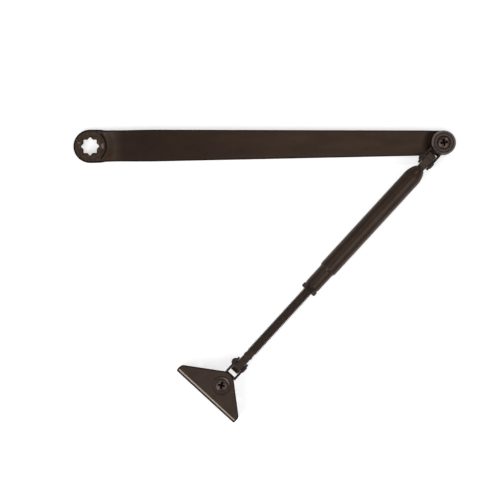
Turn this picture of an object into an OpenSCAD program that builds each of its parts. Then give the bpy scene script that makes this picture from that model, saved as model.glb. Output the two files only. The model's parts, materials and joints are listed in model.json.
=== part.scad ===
// Double-lever arm of a door closer: a forged main arm, a telescoping forearm and a foot bracket.
// Origin: centre of the star socket, on the underside of the arm's head.
// +X runs along the main arm to the elbow, +Z away from the closer body.

/* [Main arm] */
// Distance from the star socket to the elbow axis
arm_length = 318.5; // [250:0.5:400]
// Radius of the round head
head_r = 15; // [14:0.5:18]
// Thickness of the head
head_t = 8; // [7:0.5:9]
// Rounding of the head's upper rim
head_rim = 2; // [0.5:0.5:3]
// Side of the two squares that make the star socket
star_side = 12.1; // [10:0.1:13]
// Thickness of the bar
bar_t = 6; // [5:0.5:7]
// Height of the bar's underside above the head's underside
bar_lift = 4.5; // [4:0.5:6]
// Half width of the bar at the elbow
arm_end_r = 11.1; // [10:0.1:13]
// Radius of the ridge that rings the socket on the bar's side
ridge_r = 13.2; // [12:0.1:14]
// Height of the ridge above the head's face
ridge_h = 0.7; // [0.3:0.1:1]

/* [Forearm] */
// Distance between the elbow axis and the foot axis
fore_length = 295.1; // [270:0.1:330]
// Angle between the main arm and the forearm
elbow_angle = 46.9; // [35:0.1:180]
// Outer radius of the tube
tube_r = 8.2; // [7.5:0.1:9]
// Outer radius of the tube's reduced end
sleeve_r = 7.1; // [6.5:0.1:7.4]
// Wall of the tube
tube_wall = 1.8; // [1.2:0.1:2]
// Distance from the elbow axis to the tube's near end
tube_start = 32; // [31:0.1:34]
// Distance from the elbow axis to the shoulder of the reduced end
sleeve_start = 153; // [120:0.5:160]
// Distance from the elbow axis to the tube's far end
tube_end = 175.6; // [170:0.1:180]
// Radius of the threaded rod
rod_r = 4.7; // [4:0.1:4.8]
// Length of the rod inside the tube
rod_engaged = 60; // [40:1:80]
// Width of the lock nut across its corners
nut_corners = 15; // [13:0.1:16]
// Thickness of the lock nut
nut_t = 4.8; // [3:0.1:7]
// Thickness of the lock washer
lock_washer_t = 0.7; // [0.5:0.1:1.5]

/* [Swivel joints] */
// Distance from a swivel axis to its cross rivet
pin_reach = 23.5; // [22:0.1:26]
// Height of the cross rivet above the stirrup's base
pin_rise = 10.1; // [9.5:0.1:12]
// Thickness of a stirrup's base
stirrup_t = 2.5; // [2:0.1:3]
// Radius of a stirrup's round base
stirrup_r = 10.5; // [9:0.1:11]
// Half of the gap between a stirrup's ears
ear_gap = 4; // [3.8:0.1:4.5]
// Thickness of an ear
ear_t = 2; // [1.5:0.1:2.5]
// Radius of an ear's round end
ear_r = 5.6; // [5:0.1:6.5]
// Radius of the cross rivet
rivet_r = 2.5; // [2:0.1:3]
// Radius of the swivel post
post_r = 5; // [4.5:0.1:5.5]
// Radius of the swivel post's flange
post_flange_r = 7.5; // [7:0.1:9]
// Thickness of the swivel post's flange
post_flange_t = 3; // [2:0.1:3]
// Thickness of a bearing washer
washer_t = 0.8; // [0.5:0.1:1]
// Radius of a bearing washer
washer_r = 10; // [8:0.1:10.4]
// Radius of the elbow's cap
cap_r = 11; // [10:0.1:11]
// Thickness of the elbow's cap
cap_t = 4; // [3.5:0.1:5]

/* [Screws] */
// Radius of a swivel screw's shank
screw_r = 3; // [2.5:0.1:3.2]
// Radius of a swivel screw's head
screw_head_r = 5.5; // [5:0.1:5.7]
// Width of the cross recess, tip to tip
recess_w = 6.4; // [5:0.1:7]

/* [Foot bracket] */
// Thickness of the foot's plate and flange
foot_t = 3.5; // [3:0.1:4]
// Distance from the foot axis to the flange's outer face
flange_back = 17.5; // [17:0.1:22]
// Length of the flange on its long side of the foot axis
flange_long = 38.8; // [34:0.1:45]
// Length of the flange on its short side of the foot axis
flange_short = 30.8; // [28:0.1:40]
// Radius of the plate's nose
nose_r = 9.8; // [9:0.1:11]
// Rounding of the plate's and the flange's corners
foot_corner = 4.5; // [2:0.1:6]
// Distance between the flange's two screw holes
foot_hole_pitch = 46; // [36:1:52]
// Radius of the flange's screw holes
foot_hole_r = 3.4; // [2.5:0.1:4]
// Height of the flange's screw holes above its lower edge
foot_hole_h = 14; // [10:0.5:18]

/* [Fits] */
// Radial clearance of a shaft in its bore
running_gap = 0.05; // [0.02:0.01:0.1]
// End play of a stirrup between its washers
end_play = 0.1; // [0.05:0.05:0.2]

/* [Hidden] */
$fn = 96;
BRONZE = "#3a2e2a";
DARK_BRONZE = "#332823";
CAP_BRONZE = "#463d3a";
PLATED = "#8c8a84";

// Main arm
bar_top = bar_lift + bar_t;
end_plate_low = post_flange_t;
end_plate_top = 8;
neck_reach = 34;             // radius of the turned forms at each end of the bar
neck_start = 6.2;            // where the ridge begins, along the arm
ridge_w = 2;                 // width of the ridge's flat top
neck_groove_w = 3.2;         // from the ridge's inner edge to the foot of the ramp
neck_ramp_w = 8;             // from the ridge's inner edge to the bar's full height
neck_under_r = head_r + 9;   // where the underside has risen to the bar's
plate_flat_r = 13;           // end of the flat around the elbow axis
plate_ramp_r = 20;           // where the bar has its full height again

// Stack on a swivel axis, upwards from the plate that carries it
base_z = washer_t + end_play;
upper_washer_z = base_z + stirrup_t + end_play;
clamp_z = upper_washer_z + washer_t;
pin_z = base_z + pin_rise;
fore_z = end_plate_top + pin_z;
foot_z = fore_z + pin_z;
fore_dir = 180 + elbow_angle;

// Elbow cap
cap_top = clamp_z + cap_t;
cap_well_z = cap_top - 2;    // floor of the well for the screw's head
cap_well_r = screw_head_r + 0.4;
cap_groove_r = 8.4;
cap_bevel = [1.6, 1.3];      // width and depth of the bevel round the rim

// Stirrup
base_end = 13.2;             // end of the base, between the ears
ear_start = 10.8;            // clears the cap's edge
ear_heel_z = pin_z - 1.5;
ear_heel_r = 1.5;

// Forearm fittings
tongue_r = 6.5;              // round end of the tube's tongue
tongue_over = 2.5;           // how far its centre lies past the rivet
tongue_half = 3.7;
tongue_end = 29.5;
tongue_neck_r = 3.6;
plug_start = 42;
plug_end = 54;
ogive = 12;                  // length of the tube's rounded nose
shoulder = 3.5;              // length of the step to the reduced end
sleeve_wall = 1.2;
eye_r = 5.6;                 // round end of the rod's tongue
eye_over = 1.7;              // how far its centre lies past the rivet
eye_half = 3.7;
eye_reach = fore_length - pin_reach;
rod_end = fore_length - 34.5; // end of the rod's full diameter
rod_neck_r = 3.5;
rod_neck_end = fore_length - 31;
rod_start = tube_end - rod_engaged;

// Screws
screw_hole_gap = 0.2;        // radial clearance of a swivel screw in its plate or cap
shank_r = screw_r - running_gap;

// Foot bracket
flange_low = foot_z;
flange_front = flange_back - foot_t;
flange_mid = (flange_short - flange_long) / 2;
nose = [3, -1.2, nose_r];
seat_r = 5.8;                // countersink under the screw's head
seat_z = -1.4;
dish_r = 8.2;                // shallow dish around the screw's head
dish_depth = 0.7;
corner_x = -13;              // centres of the plate's two rounded corners, from the foot axis
post_seat = 1.1;             // depth of the post's socket in the plate

// ---------------------------------------------------------------- outlines

// Points on an arc, with both ends
function arc(centre, r, from, to, steps = 8) =
    [for (i = [0:steps]) let (a = from + (to - from) * i / steps) centre + r * [cos(a), sin(a)]];

// The two points where a straight edge touches the round corners a and b, each [x, y, radius]
function edge_points(a, b) =
    let (d = [b.x - a.x, b.y - a.y],
         turn = atan2(d.y, d.x) - acos((a.z - b.z) / norm(d)),
         side = [cos(turn), sin(turn)])
    [[a.x, a.y] + a.z * side, [b.x, b.y] + b.z * side];

// Convex outline through round corners, listed anticlockwise
module rounded_loop(corners) {
    count = len(corners);
    polygon([for (i = [0:count - 1]) each edge_points(corners[i], corners[(i + 1) % count])]);
    for (c = corners)
        if (c.z > 0) translate([c.x, c.y]) circle(c.z);
}

// ---------------------------------------------------------------- places

// Elbow axis: x towards the foot, z up from the end plate
module on_elbow() {
    translate([arm_length, 0, end_plate_top]) rotate(fore_dir) children();
}

// Foot axis, turned over: x towards the elbow, z down from the foot's plate
module on_foot() {
    translate([arm_length, 0, foot_z]) rotate(fore_dir)
        translate([fore_length, 0, 0]) rotate([0, 180, 0]) children();
}

// Forearm's centre line: x towards the foot
module on_forearm() {
    translate([arm_length, 0, fore_z]) rotate(fore_dir) children();
}

// Turned part about the forearm's centre line, from [radius, distance from the elbow] points
module turned(profile) {
    on_forearm() rotate([0, 90, 0]) rotate_extrude() polygon(profile);
}

// Flat part that stands upright on the forearm's centre line
module upright(half) {
    rotate([90, 0, 0]) linear_extrude(2 * half, center = true) children();
}

// ---------------------------------------------------------------- main arm

module arm_outline() {
    rounded_loop([[0, 0, head_r], [arm_length, 0, arm_end_r]]);
}

module head_disc() {
    rotate_extrude() {
        square([head_r - head_rim, head_t]);
        square([head_r, head_t - head_rim]);
        translate([head_r - head_rim, head_t - head_rim]) circle(head_rim);
    }
}

// Form that rises from the head to the bar, turned about the socket
module neck_form() {
    rotate_extrude()
        polygon([[0, 0], [head_r - 1, 0], [neck_under_r, bar_lift], [neck_reach, bar_lift],
                 [neck_reach, bar_top], [ridge_r + neck_ramp_w, bar_top],
                 [ridge_r + neck_groove_w, head_t + 0.2], [ridge_r + ridge_w, head_t + ridge_h],
                 [ridge_r, head_t + ridge_h], [ridge_r, head_t], [0, head_t]]);
}

// Form that sinks from the bar to the end plate, turned about the elbow
module end_form() {
    translate([arm_length, 0, 0]) rotate_extrude()
        polygon([[0, end_plate_low], [plate_flat_r, end_plate_low], [plate_ramp_r, bar_lift],
                 [neck_reach, bar_lift], [neck_reach, bar_top], [plate_ramp_r, bar_top],
                 [plate_flat_r, end_plate_top], [0, end_plate_top]]);
}

module star_socket() {
    for (a = [0, 45])
        rotate(a) translate([-star_side / 2, -star_side / 2, -1])
            cube([star_side, star_side, head_t + 2]);
}

module main_arm() {
    bar_from = neck_reach - 6;
    color(BRONZE) difference() {
        union() {
            head_disc();
            intersection() {
                linear_extrude(bar_top) arm_outline();
                union() {
                    intersection() {
                        neck_form();
                        translate([neck_start, -head_r, 0]) cube([neck_reach, 2 * head_r, bar_top]);
                    }
                    translate([bar_from, -head_r, bar_lift])
                        cube([arm_length - 2 * bar_from, 2 * head_r, bar_t]);
                    end_form();
                }
            }
        }
        star_socket();
        translate([arm_length, 0, 0]) cylinder(r = post_r + running_gap, h = bar_top + 1);
    }
}

// ---------------------------------------------------------------- swivel hardware

// Flanged post with a threaded bore: the flange lies beyond flange_z, the body ends at body_z
module post(flange_z, flange_far, body_z) {
    color(PLATED) rotate_extrude()
        polygon([[screw_r, flange_far], [post_flange_r, flange_far], [post_flange_r, flange_z],
                 [post_r, flange_z], [post_r, body_z], [screw_r, body_z]]);
}

module washer(z) {
    color(PLATED) translate([0, 0, z]) difference() {
        cylinder(r = washer_r, h = washer_t);
        translate([0, 0, -1]) cylinder(r = post_r + 2 * running_gap, h = washer_t + 2);
    }
}

module stirrup_base() {
    circle(stirrup_r);
    translate([0, -ear_gap - ear_t]) square([base_end, 2 * (ear_gap + ear_t)]);
}

module ear_outline() {
    rounded_loop([[ear_start, base_z, 0], [base_end, base_z, 0], [pin_reach, pin_z, ear_r],
                  [ear_start + ear_heel_r, ear_heel_z, ear_heel_r]]);
}

// U-shaped bracket: a round base on the post, and two ears for the cross rivet
module stirrup() {
    color(DARK_BRONZE) difference() {
        union() {
            translate([0, 0, base_z]) linear_extrude(stirrup_t) stirrup_base();
            for (side = [-1, 1])
                translate([0, side * (ear_gap + ear_t / 2), 0]) upright(ear_t / 2) ear_outline();
        }
        cylinder(r = post_r + running_gap, h = pin_z);
        translate([pin_reach, 0, pin_z]) rotate([90, 0, 0])
            cylinder(r = rivet_r, h = 4 * ear_r, center = true);
    }
}

// Cross rivet: domed head on one side, flattened tail on the other
module rivet() {
    grip = ear_gap + ear_t;
    head_w = 3.6;
    head_h = 2.4;
    tail_w = 3.2;
    tail_h = 0.9;
    dome = (head_w * head_w + head_h * head_h) / (2 * head_h);
    color(DARK_BRONZE) translate([pin_reach, 0, pin_z]) rotate([90, 0, 0]) rotate_extrude() {
        polygon(concat([[0, -grip - tail_h], [tail_w - 0.4, -grip - tail_h], [tail_w, -grip],
                        [rivet_r, -grip], [rivet_r, grip]],
                       arc([0, grip + head_h - dome], dome, asin((dome - head_h) / dome), 90)));
    }
}

// Screw turned from a [radius, z] profile, with a cross recess cut in from its top.
// up is 1 when the head faces up the swivel axis and -1 when it faces down it.
module swivel_screw(profile, top_z, up) {
    tip = recess_w / 2;
    floor = recess_w / 5;
    rim_z = top_z - 0.6 * up;
    floor_z = top_z - 2.2 * up;
    color(CAP_BRONZE) difference() {
        rotate_extrude() polygon(profile);
        for (a = [0, 90])
            rotate(a) upright(recess_w / 11)
                polygon([[-tip, top_z + up], [tip, top_z + up], [tip, rim_z],
                         [floor, floor_z], [-floor, floor_z], [-tip, rim_z]]);
    }
}

// ---------------------------------------------------------------- elbow

module elbow_post() {
    on_elbow() post(end_plate_low - end_plate_top, -end_plate_top, clamp_z);
}

module elbow_lower_washer() {
    on_elbow() washer(0);
}

module elbow_upper_washer() {
    on_elbow() washer(upper_washer_z);
}

module elbow_cap() {
    hole_r = screw_r + screw_hole_gap;
    rim_z = cap_top - 0.2;       // outside the groove the face lies a little lower
    color(CAP_BRONZE) on_elbow() rotate_extrude()
        polygon([[hole_r, clamp_z], [cap_r - 0.3, clamp_z], [cap_r, clamp_z + 0.3],
                 [cap_r, rim_z - cap_bevel.y], [cap_r - cap_bevel.x, rim_z],
                 [cap_groove_r + 0.2, rim_z], [cap_groove_r, rim_z - 0.2],
                 [cap_groove_r - 0.3, cap_top], [cap_well_r, cap_top],
                 [cap_well_r, cap_well_z], [hole_r, cap_well_z]]);
}

module elbow_screw() {
    head_top = cap_well_z + 2.9;
    on_elbow()
        swivel_screw([[0, -end_plate_top + 0.8], [shank_r - 0.5, -end_plate_top + 0.8],
                      [shank_r, -end_plate_top + 1.3], [shank_r, cap_well_z],
                      [screw_head_r, cap_well_z], [screw_head_r, cap_well_z + 1.1],
                      [screw_head_r - 0.7, cap_well_z + 2.1], [screw_head_r - 2.3, cap_well_z + 2.8],
                      [0, head_top]], head_top, 1);
}

module elbow_stirrup() {
    on_elbow() stirrup();
}

module elbow_rivet() {
    on_elbow() rivet();
}

// ---------------------------------------------------------------- forearm

// Flat tongue for the elbow's rivet, with a neck and a plug that the tube is closed over
module forearm_tongue() {
    plug_r = tube_r - tube_wall - running_gap;
    color(BRONZE) {
        difference() {
            union() {
                on_forearm() upright(tongue_half)
                    rounded_loop([[pin_reach - tongue_over, 0, tongue_r], [tongue_end, -3.2, 1],
                                  [tongue_end, 3.2, 1]]);
                turned([[0, tongue_end - 1], [tongue_neck_r, tongue_end - 1],
                        [tongue_neck_r, plug_start], [plug_r, plug_start],
                        [plug_r, plug_end], [0, plug_end]]);
            }
            on_forearm() translate([pin_reach, 0, 0]) rotate([90, 0, 0])
                cylinder(r = rivet_r + running_gap, h = 4 * tongue_half, center = true);
        }
    }
}

// Tube: rounded in over the tongue's neck at one end and reduced at the other
module forearm_tube() {
    bore_r = tube_r - tube_wall;
    sleeve_bore = sleeve_r - sleeve_wall;
    opening = tongue_neck_r + running_gap;
    rise = tube_r - opening - 0.6;
    nose_arc = (ogive * ogive + rise * rise) / (2 * rise);
    color(BRONZE)
        turned(concat([[opening, tube_start]],
                      arc([tube_r - nose_arc, tube_start + ogive], nose_arc, -asin(ogive / nose_arc), 0),
                      [[tube_r, sleeve_start], [tube_r - 0.3, sleeve_start + 1.2],
                       [sleeve_r + 0.3, sleeve_start + shoulder - 1], [sleeve_r, sleeve_start + shoulder],
                       [sleeve_r, tube_end - 0.4], [sleeve_r - 0.4, tube_end], [sleeve_bore, tube_end],
                       [sleeve_bore, sleeve_start + shoulder], [bore_r, sleeve_start - 1],
                       [bore_r, plug_start - 0.2], [opening, tube_start + 1.6]]));
}

// Nut body fixed in the tube's reduced end, which the rod screws through
module threaded_insert() {
    near = tube_end - 18;
    outer = sleeve_r - sleeve_wall - running_gap;
    color(PLATED)
        turned([[rod_r + running_gap, near], [outer, near], [outer, tube_end],
                [rod_r + running_gap, tube_end]]);
}

module lock_washer() {
    inner = rod_r + 2 * running_gap;
    outer = sleeve_r - 0.6;
    far = tube_end + lock_washer_t;
    color(PLATED)
        turned([[inner, tube_end], [outer, tube_end], [outer, far], [inner, far]]);
}

// Thin hexagon nut with chamfered corners, points to the sides
module lock_nut() {
    near = tube_end + lock_washer_t;
    far = near + nut_t;
    corner = nut_corners / 2;
    color(DARK_BRONZE) difference() {
        intersection() {
            on_forearm() translate([near, 0, 0]) rotate([0, 90, 0]) rotate(90)
                cylinder(r = corner, h = nut_t, $fn = 6);
            turned([[0, near], [corner - 1, near], [corner + 0.2, near + 0.7],
                    [corner + 0.2, far - 0.7], [corner - 1, far], [0, far]]);
        }
        turned([[0, near - 1], [rod_r + running_gap, near - 1], [rod_r + running_gap, far + 1],
                [0, far + 1]]);
    }
}

// Threaded rod with a flattened tongue for the foot's rivet
module forearm_rod() {
    color(DARK_BRONZE) difference() {
        union() {
            on_forearm() upright(eye_half)
                rounded_loop([[rod_neck_end - 1, -2.5, 0.8], [eye_reach + eye_over, 0, eye_r],
                              [rod_neck_end - 1, 2.5, 0.8]]);
            turned([[0, rod_start], [rod_r - 0.8, rod_start], [rod_r, rod_start + 0.8],
                    [rod_r, rod_end], [rod_neck_r, rod_neck_end - 1.5], [rod_neck_r, rod_neck_end],
                    [0, rod_neck_end]]);
        }
        on_forearm() translate([eye_reach, 0, 0]) rotate([90, 0, 0])
            cylinder(r = rivet_r + running_gap, h = 4 * eye_half, center = true);
    }
}

// ---------------------------------------------------------------- foot

module foot_stirrup() {
    on_foot() stirrup();
}

module foot_rivet() {
    on_foot() rivet();
}

module foot_upper_washer() {
    on_foot() washer(0);
}

module foot_lower_washer() {
    on_foot() washer(upper_washer_z);
}

module foot_post() {
    on_foot() post(clamp_z, clamp_z + post_flange_t, -post_seat);
}

// Plan of the plate, from the nose to the flange's outer face
module foot_outline() {
    rounded_loop([nose, [corner_x, flange_short - foot_corner, foot_corner],
                  [-flange_back, flange_short, 0], [-flange_back, -flange_long, 0],
                  [corner_x, foot_corner - flange_long, foot_corner]]);
}

// Flange seen from behind: x across, y down from the plate's underside
module flange_outline() {
    low = flange_low - foot_corner;
    rounded_loop([[-flange_long, 0, 0], [flange_short, 0, 0],
                  [flange_short - foot_corner, low, foot_corner],
                  [foot_corner - flange_long, low, foot_corner]]);
}

// Pressed plate with its long edge folded down as a flange
module foot_bracket() {
    span = flange_long + flange_short;
    color(BRONZE) on_foot() difference() {
        union() {
            intersection() {
                translate([0, 0, -foot_t]) linear_extrude(foot_t) foot_outline();
                translate([-flange_front, -span, -foot_t]) cube([2 * span, 2 * span, foot_t]);
            }
            translate([-flange_front, flange_short, 0]) rotate([90, 0, 0]) intersection() {
                cylinder(r = foot_t, h = span);
                translate([-foot_t, -foot_t, 0]) cube([foot_t, foot_t, span]);
            }
            translate([-flange_back, 0, 0]) rotate([90, 0, 90])
                linear_extrude(foot_t) flange_outline();
        }
        translate([0, 0, -post_seat]) cylinder(r = post_r + running_gap, h = 2 * post_seat);
        rotate_extrude()
            polygon([[0, 0], [screw_r + screw_hole_gap, 0], [screw_r + screw_hole_gap, seat_z],
                     [seat_r, -foot_t + dish_depth], [dish_r, -foot_t], [dish_r, -foot_t - 1],
                     [0, -foot_t - 1]]);
        for (side = [-1, 1])
            translate([-flange_back - 1, flange_mid + side * foot_hole_pitch / 2,
                       flange_low - foot_hole_h])
                rotate([0, 90, 0]) cylinder(r = foot_hole_r, h = foot_t + 2);
    }
}

module foot_screw() {
    head_top = -foot_t - 1.2;
    on_foot()
        swivel_screw([[0, clamp_z + 2.2], [shank_r - 0.5, clamp_z + 2.2], [shank_r, clamp_z + 1.7],
                      [shank_r, seat_z - 0.1], [screw_head_r, -foot_t + dish_depth - 0.15],
                      [screw_head_r, -foot_t + dish_depth - 0.7], [screw_head_r - 0.8, -foot_t - 0.5],
                      [screw_head_r - 2.4, -foot_t - 1], [0, head_top]], head_top, -1);
}

// ---------------------------------------------------------------- assembly

main_arm();
elbow_post();
elbow_lower_washer();
elbow_upper_washer();
elbow_cap();
elbow_screw();
elbow_stirrup();
elbow_rivet();
forearm_tongue();
forearm_tube();
threaded_insert();
lock_washer();
lock_nut();
forearm_rod();
foot_stirrup();
foot_rivet();
foot_upper_washer();
foot_lower_washer();
foot_post();
foot_bracket();
foot_screw();
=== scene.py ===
"""Looks of the door closer arm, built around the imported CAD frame.

Each piece is made in millimetres in a local place, moved into the frame and tied to one body. Plates are
filled outlines with rounded edges, folded where the real ones are pressed; turned parts are lathed."""
import json
import math

import bmesh
import bpy
import numpy as np
from mathutils import Matrix, Vector
from mathutils.geometry import delaunay_2d_cdt


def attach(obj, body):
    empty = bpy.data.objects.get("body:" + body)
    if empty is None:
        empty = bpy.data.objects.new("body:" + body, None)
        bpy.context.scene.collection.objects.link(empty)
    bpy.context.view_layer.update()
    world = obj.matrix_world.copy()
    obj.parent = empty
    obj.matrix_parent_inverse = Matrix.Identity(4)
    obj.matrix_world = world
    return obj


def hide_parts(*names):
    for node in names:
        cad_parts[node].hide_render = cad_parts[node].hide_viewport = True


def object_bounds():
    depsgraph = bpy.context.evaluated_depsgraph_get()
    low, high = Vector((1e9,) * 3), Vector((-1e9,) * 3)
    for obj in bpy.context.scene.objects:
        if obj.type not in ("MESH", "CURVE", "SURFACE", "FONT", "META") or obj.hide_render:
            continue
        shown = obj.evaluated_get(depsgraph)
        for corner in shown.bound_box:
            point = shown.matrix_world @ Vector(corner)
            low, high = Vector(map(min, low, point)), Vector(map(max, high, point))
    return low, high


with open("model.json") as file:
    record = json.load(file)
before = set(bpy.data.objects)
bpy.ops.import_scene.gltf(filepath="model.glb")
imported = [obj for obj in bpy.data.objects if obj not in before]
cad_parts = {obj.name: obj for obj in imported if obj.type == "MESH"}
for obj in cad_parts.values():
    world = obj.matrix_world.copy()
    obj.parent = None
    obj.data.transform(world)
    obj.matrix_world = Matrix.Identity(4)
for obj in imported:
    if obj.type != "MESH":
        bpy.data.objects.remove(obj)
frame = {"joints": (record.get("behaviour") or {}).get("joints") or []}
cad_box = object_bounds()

MM = 0.001

# ---------------- places
# Every shape below is made in millimetres in one of these places, which come from the joints.

JOINTS = {j["name"]: j for j in frame["joints"]}
ELBOW_AT = Vector(JOINTS["elbow_swivel"]["pos_m"])
ELBOW_PIN = Vector(JOINTS["elbow_tilt"]["pos_m"])
FOOT_AT = Vector(JOINTS["foot_swivel"]["pos_m"])
REACH = FOOT_AT - ELBOW_AT
FORE_DIR = math.atan2(REACH.y, REACH.x)
ARM_LENGTH = ELBOW_AT.x / MM
FORE_LENGTH = math.hypot(REACH.x, REACH.y) / MM
PIN_REACH = math.hypot(ELBOW_PIN.x - ELBOW_AT.x, ELBOW_PIN.y - ELBOW_AT.y) / MM
PIN_Z = (ELBOW_PIN.z - ELBOW_AT.z) / MM


def place(at, *turns):
    """Matrix from millimetres in a local place to metres in the row frame."""
    m = Matrix.Translation(at)
    for angle, axis in turns:
        m = m @ Matrix.Rotation(angle, 4, axis)
    return m @ Matrix.Scale(MM, 4)


QUARTER = math.pi / 2
ARM = place(Vector((0, 0, 0)))
ELBOW = place(ELBOW_AT, (FORE_DIR, "Z"))                      # x to the foot, z up
FOOT = place(FOOT_AT, (FORE_DIR, "Z"), (math.pi, "Y"))        # x to the elbow, z down
FOREARM = place(Vector((ELBOW_AT.x, ELBOW_AT.y, ELBOW_PIN.z)), (FORE_DIR, "Z"))
FORE_AXIS = FOREARM @ Matrix.Rotation(QUARTER, 4, "Y")        # z along the forearm
PIN = Matrix.Translation((PIN_REACH, 0, PIN_Z)) @ Matrix.Rotation(QUARTER, 4, "X")

# ---------------- sizes, mm
# Radii end in _R, thicknesses in _T and heights or depths along the local z axis in _Z.

# Main arm
HEAD_R, HEAD_T, HEAD_RIM = 15.0, 8.0, 2.0
BAR_LOW, BAR_TOP, BAR_RIM = 4.5, 10.5, 1.1
ARM_END_R = 11.1
NECK_DIP = 0.045                                # share of the width lost behind the head
NECK_X = (5.2, 7.0)                             # where the ridge and the ramp begin, from the socket
PLATE_LOW, PLATE_TOP = 3.0, 8.0
PLATE_EDGE = (12.8, 20.5)                       # ramp between the elbow plate and the bar, from the elbow
STAR_SIDE, STAR_CHAMFER = 12.1, 0.7
RIDGE_R, RIDGE_H = 12.8, 0.75

# Elbow and foot hardware
POST_R, GAP = 5.0, 0.05
WASHER_R, WASHER_T, PLAY = 10.0, 0.8, 0.1
BASE_Z, STIRRUP_T = 0.9, 2.5
UPPER_WASHER_Z = BASE_Z + STIRRUP_T + PLAY
CLAMP_Z = UPPER_WASHER_Z + WASHER_T
CAP_R, CAP_T = 11.0, 4.0
SCREW_R, SCREW_HEAD_R = 3.0, 5.5
EAR_GAP, EAR_T, EAR_R, RIVET_R = 4.0, 2.0, 5.6, 2.5

# Forearm; positions are from the elbow
TUBE_R, SLEEVE_R, TUBE_START, SLEEVE_START, TUBE_END = 8.2, 7.1, 32.0, 153.0, 175.6
TUBE_WALL, SLEEVE_WALL, OGIVE = 1.8, 1.2, 12.0
ROD_R, THREAD_PITCH = 4.7, 1.5875
NUT_CORNER, NUT_T, LOCK_WASHER_T = 7.5, 4.8, 0.7
TONGUE_HALF, TONGUE_OVER, TONGUE_R = 3.7, 2.5, 6.5
EYE_OVER, EYE_R = 1.7, 5.6

# Foot; positions are from its swivel, with x towards the elbow
FOOT_T, FLANGE_BACK, FLANGE_LONG, FLANGE_SHORT = 3.5, 17.5, 38.8, 30.8
FLANGE_DROP, FOOT_CORNER, CORNER_X = 30.0, 4.5, -13.0
NOSE = (3.0, -1.2, 9.8)                         # x, y and radius of the plate's round end
POST_SINK = 1.1                                 # how far the post reaches into the plate
DISH_R, DISH_DEPTH, SEAT_R, SEAT_Z = 8.2, 0.7, 5.8, 2.1
FOOT_HOLE_R, FOOT_HOLE_PITCH, FOOT_HOLE_H = 3.4, 46.0, 14.0

# ---------------- plane geometry


def step(x, low, high):
    """0 below low, 1 above high, smooth between."""
    t = min(max((x - low) / (high - low), 0.0), 1.0)
    return t * t * (3 - 2 * t)


def arc(cx, cy, r, start, end, count):
    """Points on an arc, both ends included; angles in degrees."""
    angles = [math.radians(start + (end - start) * i / count) for i in range(count + 1)]
    return [(cx + r * math.cos(a), cy + r * math.sin(a)) for a in angles]


def circle(cx, cy, r, count, clockwise=False):
    """Points all round a circle, the first on its +x side."""
    loop = arc(cx, cy, r, 0, 360, count)[:-1]
    return loop[::-1] if clockwise else loop


def fillet(corners, steps=5, closed=True):
    """Straight lines through [x, y, radius] corners, each corner rounded.
    Returns [x, y, wear] points, where the third value is 1 in the middle of a rounded corner; turned parts
    use it as rubbed wear that also paints a highlight."""
    out = []
    count = len(corners)
    for i, (bx, by, r) in enumerate(corners):
        if r <= 0 or (not closed and i in (0, count - 1)):
            out.append((bx, by, 0.0))
            continue
        b = Vector((bx, by))
        a = Vector(corners[i - 1][:2]) - b
        c = Vector(corners[(i + 1) % count][:2]) - b
        half = a.angle(c) / 2
        reach = min(r / math.tan(half), 0.49 * a.length, 0.49 * c.length)
        r = reach * math.tan(half)
        a.normalize()
        c.normalize()
        centre = b + (a + c).normalized() * (r / math.sin(half))
        first = b + a * reach - centre
        sweep = first.angle_signed(b + c * reach - centre)
        for k in range(steps + 1):
            p = centre + Matrix.Rotation(-sweep * k / steps, 2) @ first
            out.append((p.x, p.y, math.sin(math.pi * k / steps)))
    return out


def tangent(a, b):
    """Straight edge that touches the round corners a and b of an anticlockwise loop.
    Returns the direction of its outer side and the two points where it touches."""
    dx, dy = b[0] - a[0], b[1] - a[1]
    turn = math.atan2(dy, dx) - math.acos((a[2] - b[2]) / math.hypot(dx, dy))
    side = (math.cos(turn), math.sin(turn))
    start, end = ((x + r * side[0], y + r * side[1]) for x, y, r in (a, b))
    return turn, start, end


def hull_loop(corners, spacing=1.0):
    """Anticlockwise loop round [x, y, radius] corners, with points along its straight edges."""
    edges = [tangent(corners[i], corners[(i + 1) % len(corners)]) for i in range(len(corners))]
    loop = []
    for i, (x, y, r) in enumerate(corners):
        arrive, leave = edges[i - 1][0], edges[i][0]
        while leave < arrive:
            leave += 2 * math.pi
        if r > 0:
            by_length = round((leave - arrive) * r / (0.6 * spacing))
            by_angle = round(math.degrees(leave - arrive) / 9)
            count = max(2, by_length, by_angle)
            loop += arc(x, y, r, math.degrees(arrive), math.degrees(leave), count)
        else:
            loop.append((x, y))
        p, q = Vector(edges[i][1]), Vector(edges[i][2])
        parts = max(1, round((q - p).length / spacing))
        loop += [tuple(p.lerp(q, k / parts)) for k in range(1, parts)]
    return loop


def resample(loop, spacing):
    """Splits the long edges of a closed loop."""
    out = []
    for i, p in enumerate(loop):
        q = loop[(i + 1) % len(loop)]
        parts = max(1, math.ceil(math.dist(p, q) / spacing))
        out += [(p[0] + (q[0] - p[0]) * k / parts, p[1] + (q[1] - p[1]) * k / parts) for k in range(parts)]
    return out


def mitres(loop):
    """For each point, the step to its left that moves both its edges by 1."""
    pts = [Vector(p[:2]) for p in loop]
    out = []
    for i, p in enumerate(pts):
        a = (p - pts[i - 1]).normalized()
        b = (pts[(i + 1) % len(pts)] - p).normalized()
        na, nb = Vector((-a.y, a.x)), Vector((-b.y, b.x))
        out.append((na + nb) / max(0.35, 1 + na.dot(nb)))
    return out


def inside(points, loop):
    """For each point, whether it lies in the loop."""
    x, y = np.array(points)[:, 0], np.array(points)[:, 1]
    found = np.zeros(len(x), bool)
    for i, (x2, y2) in enumerate(loop):
        x1, y1 = loop[i - 1]
        if y1 == y2:
            continue
        crosses = (y1 > y) != (y2 > y)
        found ^= crosses & (x < (x2 - x1) * (y - y1) / (y2 - y1) + x1)
    return found


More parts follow.
